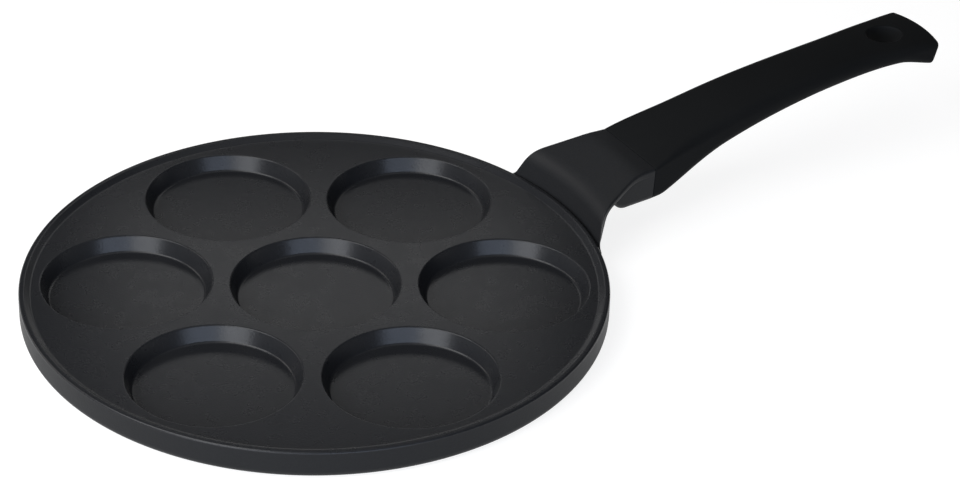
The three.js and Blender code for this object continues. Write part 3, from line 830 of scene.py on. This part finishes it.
def make_by_nodes(piece, tree, values):
    """Runs a node tree on an object, with values for its named inputs, and keeps the mesh it makes."""
    modifier = piece.modifiers.new(tree.name, "NODES")
    modifier.node_group = tree
    for item in tree.interface.items_tree:
        if item.in_out == "INPUT" and item.name in values:
            modifier[item.identifier] = values[item.name]
    settle(piece)


def smooth_over(piece):
    """Shades an object smooth between its sharp edges, with the larger faces leading."""
    piece.data.shade_smooth()
    piece.data.set_sharp_from_angle(angle=SHARP_ANGLE)
    lead = piece.modifiers.new("lead", "WEIGHTED_NORMAL")
    lead.weight = 100
    lead.keep_sharp = True
    settle(piece)


def break_edges(piece, width):
    """Bevels an object's sharp edges."""
    bevel = piece.modifiers.new("bevel", "BEVEL")
    bevel.width = width
    bevel.segments = BEVEL_STEPS
    bevel.limit_method = "ANGLE"
    settle(piece)


def enrol(piece, finish, node=None):
    """Gives a piece its finish and its body, and hides the frame's node that it stands for."""
    if finish.name not in piece.data.materials:
        piece.data.materials.append(finish)
    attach(piece, "root")
    if node:
        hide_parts(node)


# Node trees


def add_node(tree, kind, inputs=None, **settings):
    """Adds a node with its settings, and with each input set to a value or linked to a socket."""
    node = tree.nodes.new(kind)
    for key, value in settings.items():
        setattr(node, key, value)
    for key, value in (inputs or {}).items():
        for source in value if isinstance(value, list) else [value]:
            if isinstance(source, bpy.types.NodeSocket):
                tree.links.new(source, node.inputs[key])
            else:
                node.inputs[key].default_value = source
    return node


def new_tree(name, inputs):
    """Empty geometry tree with named inputs, and the node that gives them."""
    tree = bpy.data.node_groups.new(name, "GeometryNodeTree")
    tree.interface.new_socket("Geometry", in_out="INPUT", socket_type="NodeSocketGeometry")
    for label, kind in inputs.items():
        tree.interface.new_socket(label, in_out="INPUT", socket_type=f"NodeSocket{kind}")
    tree.interface.new_socket("Geometry", in_out="OUTPUT", socket_type="NodeSocketGeometry")
    return tree, add_node(tree, "NodeGroupInput").outputs


def end_tree(tree, geometry, finish):
    """Ends a tree in real geometry with its finish."""
    real = add_node(tree, "GeometryNodeRealizeInstances", {"Geometry": geometry})
    dressed = add_node(tree, "GeometryNodeSetMaterial", {"Geometry": real.outputs[0], "Material": finish})
    add_node(tree, "NodeGroupOutput", {"Geometry": dressed.outputs[0]})


def wells_tree():
    """Tree that sinks a well in the middle of a plate and a ring of them round it."""
    tree, given = new_tree("sunk_wells", {
        "Well": "Object", "Ring Wells": "Int", "Pitch": "Float", "Finish": "Material",
    })
    circle = add_node(tree, "GeometryNodeMeshCircle", {
        "Vertices": given["Ring Wells"], "Radius": given["Pitch"],
    })
    half_step = add_node(tree, "ShaderNodeMath", {0: math.pi, 1: given["Ring Wells"]}, operation="DIVIDE")
    turn = add_node(tree, "ShaderNodeCombineXYZ", {"Z": half_step.outputs[0]})
    ring = add_node(tree, "GeometryNodeTransform", {
        "Geometry": circle.outputs[0], "Rotation": turn.outputs[0],
    })
    middle = add_node(tree, "GeometryNodePoints", {"Count": 1})
    places = add_node(tree, "GeometryNodeJoinGeometry", {0: [ring.outputs[0], middle.outputs[0]]})
    well = add_node(tree, "GeometryNodeObjectInfo", {"Object": given["Well"]})
    wells = add_node(tree, "GeometryNodeInstanceOnPoints", {
        "Points": places.outputs[0], "Instance": well.outputs["Geometry"],
    })
    spaces = add_node(tree, "GeometryNodeRealizeInstances", {"Geometry": wells.outputs[0]})
    sunk = add_node(tree, "GeometryNodeMeshBoolean", {
        "Mesh 1": given["Geometry"], "Mesh 2": spaces.outputs[0],
    }, operation="DIFFERENCE", solver="EXACT")
    end_tree(tree, sunk.outputs[0], given["Finish"])
    return tree


def perforation_tree(name, rings, ring_step, punch):
    """Tree for what sits on rings of places: a disc with holes punched there, or the metal in the holes."""
    tree, given = new_tree(name, {
        "Radius": "Float", "Thickness": "Float", "Hole Radius": "Float", "Ring Pitch": "Float",
        "Finish": "Material",
    })
    circles = []
    for ring in range(1, rings + 1):
        radius = add_node(tree, "ShaderNodeMath", {0: given["Ring Pitch"], 1: ring}, operation="MULTIPLY")
        circle = add_node(tree, "GeometryNodeMeshCircle", {
            "Vertices": ring * ring_step, "Radius": radius.outputs[0],
        })
        circles.append(circle.outputs[0])
    places = add_node(tree, "GeometryNodeJoinGeometry", {0: circles})
    height = add_node(tree, "ShaderNodeMath", {
        0: given["Thickness"], 1: PUNCH_LENGTH if punch else 1,
    }, operation="MULTIPLY")
    pin = add_node(tree, "GeometryNodeMeshCylinder", {
        "Vertices": HOLE_SEGMENTS, "Radius": given["Hole Radius"], "Depth": height.outputs[0],
    })
    pins = add_node(tree, "GeometryNodeInstanceOnPoints", {
        "Points": places.outputs[0], "Instance": pin.outputs["Mesh"],
    })
    shape = add_node(tree, "GeometryNodeRealizeInstances", {"Geometry": pins.outputs[0]})
    if punch:
        disc = add_node(tree, "GeometryNodeMeshCylinder", {
            "Vertices": PAN_SEGMENTS, "Radius": given["Radius"], "Depth": given["Thickness"],
        })
        shape = add_node(tree, "GeometryNodeMeshBoolean", {
            "Mesh 1": disc.outputs["Mesh"], "Mesh 2": shape.outputs[0],
        }, operation="DIFFERENCE", solver="EXACT")
    half = add_node(tree, "ShaderNodeMath", {0: given["Thickness"], 1: 0.5}, operation="MULTIPLY")
    lift = add_node(tree, "ShaderNodeCombineXYZ", {"Z": half.outputs[0]})
    seated = add_node(tree, "GeometryNodeTransform", {
        "Geometry": shape.outputs[0], "Translation": lift.outputs[0],
    })
    end_tree(tree, seated.outputs[0], given["Finish"])
    return tree


# Materials


# Colour sockets of a Mix node, which share their names with those of its other types
MIX_FROM = 6
MIX_TO = 7
MIXED = 2

# From one ring of a Wave texture to the next at a scale of 1
WAVE_RING = math.pi / 10

# Rings that a lathe tool and a turning brush leave
TURNED = {"ring_width": 0.9 * MM, "relief": 0.03 * MM, "roughness": 0.3}
BRUSHED = {"ring_width": 0.6 * MM, "relief": 0.015 * MM, "roughness": 0.34}


def new_material(name):
    """Material with its node tree and Object coordinates."""
    finish = bpy.data.materials.new(name)
    finish.use_nodes = True
    tree = finish.node_tree
    return finish, tree, add_node(tree, "ShaderNodeTexCoord").outputs["Object"]


def dress(tree, tone, roughness, relief=None, **constants):
    """Links patterns to a material's shader and sets constants on its other sockets.

    Tone is a pattern with the two colours that it runs between, roughness a pattern with two levels, and
    relief a pattern with its height.
    """
    shader = tree.nodes["Principled BSDF"]
    pattern, start, end = tone
    mix = add_node(tree, "ShaderNodeMix", {
        "Factor": pattern, MIX_FROM: (*start, 1), MIX_TO: (*end, 1),
    }, data_type="RGBA")
    tree.links.new(mix.outputs[MIXED], shader.inputs["Base Color"])
    pattern, start, end = roughness
    spread = add_node(tree, "ShaderNodeMapRange", {"Value": pattern, "To Min": start, "To Max": end})
    tree.links.new(spread.outputs[0], shader.inputs["Roughness"])
    if relief:
        pattern, height = relief
        bump = add_node(tree, "ShaderNodeBump", {"Height": pattern, "Strength": 1, "Distance": height})
        tree.links.new(bump.outputs[0], shader.inputs["Normal"])
    for socket, value in constants.items():
        shader.inputs[socket].default_value = value


def sprayed_coating(name, tint, fleck, relief, roughness, ior):
    """Coating, sprayed and baked on sand-blasted cast aluminium.

    The blasted metal shows through as a fine grit, drawn coarser than it is, which breaks a highlight into
    specks. The film itself varies slowly in gloss.
    """
    grit_size = 0.9 * MM
    film_patch = 9 * MM
    film_play = 0.04
    finish, tree, place = new_material(name)
    grit = add_node(tree, "ShaderNodeTexNoise", {"Vector": place, "Scale": 1 / grit_size, "Detail": 3})
    film = add_node(tree, "ShaderNodeTexNoise", {"Vector": place, "Scale": 1 / film_patch, "Detail": 2})
    dress(
        tree,
        tone=(grit.outputs["Fac"], tint, fleck),
        roughness=(film.outputs["Fac"], roughness - film_play, roughness + film_play),
        relief=(grit.outputs["Fac"], relief),
        IOR=ior,
    )
    return finish


def soft_touch_phenolic(colours):
    """Phenolic resin, pressed in a blasted mould and given a soft-touch coat.

    It is almost black and dull, with a slow bloom and a faint even grain, drawn coarser than it is. The IOR
    is low, because the soft coat takes most of the gloss away.
    """
    grain_size = 0.8 * MM
    grain_height = 0.02 * MM
    bloom_patch = 25 * MM
    finish, tree, place = new_material("soft_touch_phenolic")
    grain = add_node(tree, "ShaderNodeTexNoise", {"Vector": place, "Scale": 1 / grain_size, "Detail": 2})
    bloom = add_node(tree, "ShaderNodeTexNoise", {"Vector": place, "Scale": 1 / bloom_patch, "Detail": 2})
    dress(
        tree,
        tone=(bloom.outputs["Fac"], colours.phenolic, colours.phenolic_bloom),
        roughness=(bloom.outputs["Fac"], 0.58, 0.7),
        relief=(grain.outputs["Fac"], grain_height),
        IOR=1.15,
    )
    return finish


def ringed_metal(name, tint, ring_width, relief, roughness):
    """Metal with rings about the pan's axis, as a lathe tool or a turning brush leaves them.

    The rings, drawn coarser than they are, draw a highlight out towards the rim. Slow patches of the metal
    are darker and smoother than the rest.
    """
    patch = 14 * MM
    dark = [0.86 * share for share in tint]
    finish, tree, place = new_material(name)
    rings = add_node(tree, "ShaderNodeTexWave", {
        "Vector": place, "Scale": WAVE_RING / ring_width, "Distortion": 1.5, "Detail": 3,
        "Detail Scale": 0.3,
    }, wave_type="RINGS", rings_direction="Z", wave_profile="TRI")
    patches = add_node(tree, "ShaderNodeTexNoise", {"Vector": place, "Scale": 1 / patch, "Detail": 4})
    dress(
        tree,
        tone=(patches.outputs["Fac"], dark, tint),
        roughness=(patches.outputs["Fac"], roughness - 0.06, roughness + 0.08),
        relief=(rings.outputs["Fac"], relief),
        Metallic=1,
    )
    return finish


def zinc_plated_steel(colours):
    """Pressed steel with bright zinc plating.

    It is a cool metal, clouded by small crystals, drawn larger than they are.
    """
    crystal_size = 0.7 * MM
    dark = [0.8 * share for share in colours.zinc]
    finish, tree, place = new_material("zinc_plated_steel")
    crystals = add_node(tree, "ShaderNodeTexVoronoi", {"Vector": place, "Scale": 1 / crystal_size})
    cloud = crystals.outputs["Distance"]
    dress(tree, tone=(cloud, colours.zinc, dark), roughness=(cloud, 0.26, 0.4), Metallic=1)
    return finish


def floor_paper(colours, glow):
    """Pale paper sweep.

    It shows white to the eye and in gloss, keeps a soft shadow, and is clear from below.
    """
    finish, tree, _ = new_material("floor_paper")
    tree.nodes.remove(tree.nodes["Principled BSDF"])
    paper = add_node(tree, "ShaderNodeBsdfDiffuse", {"Color": (*colours.floor, 1)})
    seen = seen_rays(tree)
    light = add_node(tree, "ShaderNodeMath", {0: seen, 1: glow}, operation="MULTIPLY")
    white = add_node(tree, "ShaderNodeEmission", {"Strength": light.outputs[0]})
    both = add_node(tree, "ShaderNodeAddShader", {0: paper.outputs[0], 1: white.outputs[0]})
    clear = add_node(tree, "ShaderNodeBsdfTransparent")
    side = add_node(tree, "ShaderNodeNewGeometry")
    sheet = add_node(tree, "ShaderNodeMixShader", {
        0: side.outputs["Backfacing"], 1: both.outputs[0], 2: clear.outputs[0],
    })
    tree.links.new(sheet.outputs[0], tree.nodes["Material Output"].inputs["Surface"])
    return finish


def seen_rays(tree):
    """Socket that is 1 for rays from the camera and for those that a gloss or glass sends on."""
    path = add_node(tree, "ShaderNodeLightPath").outputs
    direct = add_node(tree, "ShaderNodeMath", {
        0: path["Is Camera Ray"], 1: path["Is Glossy Ray"],
    }, operation="MAXIMUM")
    return add_node(tree, "ShaderNodeMath", {
        0: direct.outputs[0], 1: path["Is Transmission Ray"],
    }, operation="MAXIMUM").outputs[0]


# Stage

# Soft lamps: name, turn from the camera and elevation in degrees, distance, width and height in metres,
# brightness, colour
LAMPS = (
    ("key_softbox", -24, 15, 1.1, 0.68, 0.35, 6.4, "#f4f8ff"),
    ("window_softbox", 17, 15, 1.1, 0.85, 0.35, 4, "#d4e4ff"),
    ("back_softbox", 183, 33.9, 0.4, 0.25, 0.07, 1.4, "#ffffff"),
    ("left_softbox", -106, 28, 1.0, 0.6, 0.3, 2.6, "#fff8f2"),
    ("high_softbox", -52, 46, 1.0, 0.9, 0.7, 4.6, "#ffffff"),
    ("ceiling_softbox", 0, 85, 0.9, 0.9, 0.9, 0.4, "#ffffff"),
)

# Rise of a direction where the white backdrop starts to fade, and where only the ceiling is left
BACKDROP_FADES = 0.03
CEILING_STARTS = 0.18


def facing(azimuth, elevation, roll=0):
    """Turn of a camera or lamp that looks at the pan from an azimuth and an elevation."""
    tilt = Matrix.Rotation(math.pi / 2 - elevation, 3, "X")
    return Matrix.Rotation(azimuth, 3, "Z") @ tilt @ Matrix.Rotation(roll, 3, "Z")


def stand(name, data, view, distance, target=(0, 0, 0)):
    """Puts a camera or a lamp at a distance from what it looks at."""
    item = bpy.data.objects.new(name, data)
    place = Vector(target) + view @ Vector((0, 0, distance))
    item.matrix_world = Matrix.Translation(place) @ view.to_4x4()
    bpy.context.scene.collection.objects.link(item)
    return item


def lay_floor(sizes):
    """Square floor under the pan."""
    half = sizes.stage.floor_size / 2
    corners = [(-half, -half, 0), (half, -half, 0), (half, half, 0), (-half, half, 0)]
    floor = solid("floor", (corners, [(0, 1, 2, 3)]))
    floor.data.materials.append(floor_paper(sizes.finish, sizes.stage.floor_glow))


def hang_lamps(stage):
    """Soft lamps round the pan, which the camera doesn't see."""
    for name, turn, elevation, distance, width, height, brightness, tint in LAMPS:
        lamp = bpy.data.lights.new(name, "AREA")
        lamp.shape = "RECTANGLE"
        lamp.size = width
        lamp.size_y = height
        # Power at which a flat lamp of this size has its brightness
        lamp.energy = brightness * math.pi * width * height
        lamp.color = linear(tint)
        view = facing(stage.camera_azimuth + math.radians(turn), math.radians(elevation))
        softbox = stand(name, lamp, view, distance)
        softbox.visible_camera = False


def light_room(stage):
    """Even light all round, where the eye and gloss see a white backdrop under a dim ceiling instead."""
    world = bpy.data.worlds.new("studio")
    world.use_nodes = True
    bpy.context.scene.world = world
    tree = world.node_tree
    white = (1, 1, 1, 1)
    room = add_node(tree, "ShaderNodeBackground", {"Color": white, "Strength": stage.room_light})
    direction = add_node(tree, "ShaderNodeTexCoord").outputs["Generated"]
    up = add_node(tree, "ShaderNodeSeparateXYZ", {0: direction}).outputs["Z"]
    level = add_node(tree, "ShaderNodeMapRange", {
        "Value": up, "From Min": BACKDROP_FADES, "From Max": CEILING_STARTS,
        "To Min": 1, "To Max": stage.ceiling_light,
    })
    backdrop = add_node(tree, "ShaderNodeBackground", {"Color": white, "Strength": level.outputs[0]})
    shown = add_node(tree, "ShaderNodeMixShader", {
        0: seen_rays(tree), 1: room.outputs[0], 2: backdrop.outputs[0],
    })
    tree.links.new(shown.outputs[0], tree.nodes["World Output"].inputs["Surface"])


def set_camera(stage):
    """Camera at its place, which sees as far as the floor's corners."""
    lens = bpy.data.cameras.new("camera")
    lens.lens = stage.focal_length
    lens.clip_end = 4 * stage.floor_size
    view = facing(stage.camera_azimuth, stage.camera_elevation, stage.camera_roll)
    bpy.context.scene.camera = stand("camera", lens, view, stage.camera_distance, stage.camera_target)


# Operators


class PANCAKE_OT_casting(bpy.types.Operator):
    """Cast the pan: plate, lip, wells, bracket and tang in one coated piece"""

    bl_idname = "pancake.casting"
    bl_label = "Cast pan"

    def execute(self, context):
        sizes = context.scene.pancake_pan
        tints = sizes.finish
        # PTFE, a smooth satin film, on the lip, the deck and the wells
        non_stick = sprayed_coating(
            "sprayed_non_stick_coating", tints.inside, tints.inside_fleck,
            relief=0.05 * MM, roughness=0.28, ior=1.35,
        )
        # Silicone, a duller film, on the wall and the bracket
        outer = sprayed_coating(
            "matte_silicone_coating", tints.outside, tints.outside_fleck,
            relief=0.06 * MM, roughness=0.5, ior=1.28,
        )
        bare = ringed_metal("turned_bare_aluminium", tints.aluminium, **TURNED)
        pan = solid("pan_casting", pan_plate(sizes))
        carve(pan, "UNION", bracket_ear(sizes), tang_bar(sizes, 0))
        carve(pan, "DIFFERENCE", screw_bore(sizes.fixing.shank_radius, 0, HANDLE_HIGH.z))
        well = solid("well_space", well_space(sizes))
        pitch = 2 * well_radius(sizes) + sizes.well.web
        make_by_nodes(pan, wells_tree(), {
            "Well": well, "Ring Wells": sizes.well.ring_wells, "Pitch": pitch, "Finish": outer,
        })
        bpy.data.objects.remove(well)
        smooth_over(pan)
        self.coat(pan.data, sizes.pan.radius, non_stick, bare)
        enrol(pan, outer, "pan_body")
        return {"FINISHED"}

    @staticmethod
    def coat(mesh, radius, non_stick, bare):
        """Gives one finish to what looks up inside the wall, and another to the flat base."""
        mesh.materials.append(non_stick)
        mesh.materials.append(bare)
        for face in mesh.polygons:
            if math.hypot(face.center.x, face.center.y) < radius and face.normal.z > UPWARD:
                face.material_index = mesh.materials.find(non_stick.name)
            elif face.center.z < FIT_GAP and face.normal.z < -math.cos(SHARP_ANGLE / 2):
                face.material_index = mesh.materials.find(bare.name)


class PANCAKE_OT_base_disc(bpy.types.Operator):
    """Let the perforated steel disc into the base, with the cast metal in its holes"""

    bl_idname = "pancake.base_disc"
    bl_label = "Base disc"

    def execute(self, context):
        sizes = context.scene.pancake_pan
        disc = sizes.disc
        steel = ringed_metal("brushed_ferritic_steel", sizes.finish.steel, **BRUSHED)
        cast = ringed_metal("turned_aluminium_studs", sizes.finish.aluminium, **TURNED)
        values = {
            "Radius": DISC_HIGH.x, "Thickness": DISC_HIGH.z,
            "Hole Radius": disc.hole_radius, "Ring Pitch": disc.ring_pitch,
        }
        for name, punch, slot, finish, node in (
            ("perforated_disc", True, "induction_steel", steel, "induction_disc"),
            ("disc_studs", False, "coated_aluminium", cast, None),
        ):
            piece = solid(name, ([], []))
            tree = perforation_tree(name, disc.hole_rings, disc.ring_step, punch)
            make_by_nodes(piece, tree, {**values, "Finish": finish})
            break_edges(piece, disc.edge_bevel)
            smooth_over(piece)
            enrol(piece, finish, node)
        return {"FINISHED"}


class PANCAKE_OT_handle(bpy.types.Operator):
    """Mould the handle with its socket, screw seat and hanging hole"""

    bl_idname = "pancake.handle"
    bl_label = "Handle"

    def execute(self, context):
        sizes = context.scene.pancake_pan
        handle = solid("moulded_handle", handle_bar(sizes))
        carve(
            handle, "DIFFERENCE",
            hanging_hole(sizes),
            tang_bar(sizes, FIT_GAP),
            screw_bore(sizes.fixing.shank_radius + FIT_GAP, 0, sizes.parting.top),
            screw_bore(FLAT_RADIUS + FIT_GAP, 0, SEAT_HEIGHT),
        )
        smooth_over(handle)
        enrol(handle, soft_touch_phenolic(sizes.finish), "handle")
        return {"FINISHED"}


class PANCAKE_OT_fixing(bpy.types.Operator):
    """Fix the handle with a screw, a flat washer and a spring washer from below"""

    bl_idname = "pancake.fixing"
    bl_label = "Screw and washers"

    def execute(self, context):
        sizes = context.scene.pancake_pan
        zinc = zinc_plated_steel(sizes.finish)
        screw = solid("fixing_screw", screw_head(sizes))
        carve(screw, "UNION", threaded_shank(sizes))
        carve(screw, "DIFFERENCE", cross_recess(sizes))
        flat = solid("fixing_flat_washer", flat_washer_ring(sizes))
        spring = solid("fixing_spring_washer", spring_washer_ring(sizes))
        for piece, node in ((screw, "handle_screw"), (flat, "flat_washer"), (spring, "spring_washer")):
            smooth_over(piece)
            enrol(piece, zinc, node)
        return {"FINISHED"}


class PANCAKE_OT_stage(bpy.types.Operator):
    """Set the floor, the lamps, the backdrop and the camera"""

    bl_idname = "pancake.stage"
    bl_label = "Stage"

    def execute(self, context):
        sizes = context.scene.pancake_pan
        context.scene.view_settings.view_transform = "Standard"
        lay_floor(sizes)
        hang_lamps(sizes.stage)
        light_room(sizes.stage)
        set_camera(sizes.stage)
        return {"FINISHED"}


class PANCAKE_PT_panel(bpy.types.Panel):
    """Steps that build the pan"""

    bl_label = "Pancake pan"
    bl_idname = "PANCAKE_PT_panel"
    bl_space_type = "VIEW_3D"
    bl_region_type = "UI"
    bl_category = "Pancake pan"

    def draw(self, context):
        for step in STEPS:
            self.layout.operator(step.bl_idname)


STEPS = (PANCAKE_OT_casting, PANCAKE_OT_base_disc, PANCAKE_OT_handle, PANCAKE_OT_fixing, PANCAKE_OT_stage)
GROUPS = (
    PanSizes, WellSizes, DiscSizes, BracketSizes, PartingSizes, TangSizes, HandleSizes, FixingSizes,
    FinishColours, StageSettings, PancakePan,
)
CLASSES = (*GROUPS, *STEPS, PANCAKE_PT_panel)


def register():
    for item in CLASSES:
        bpy.utils.register_class(item)
    bpy.types.Scene.pancake_pan = PointerProperty(type=PancakePan)


def unregister():
    del bpy.types.Scene.pancake_pan
    for item in reversed(CLASSES):
        bpy.utils.unregister_class(item)


def main():
    """Builds the pan step by step."""
    register()
    bpy.ops.pancake.casting()
    bpy.ops.pancake.base_disc()
    bpy.ops.pancake.handle()
    bpy.ops.pancake.fixing()
    bpy.ops.pancake.stage()


if __name__ == "__main__":
    main()
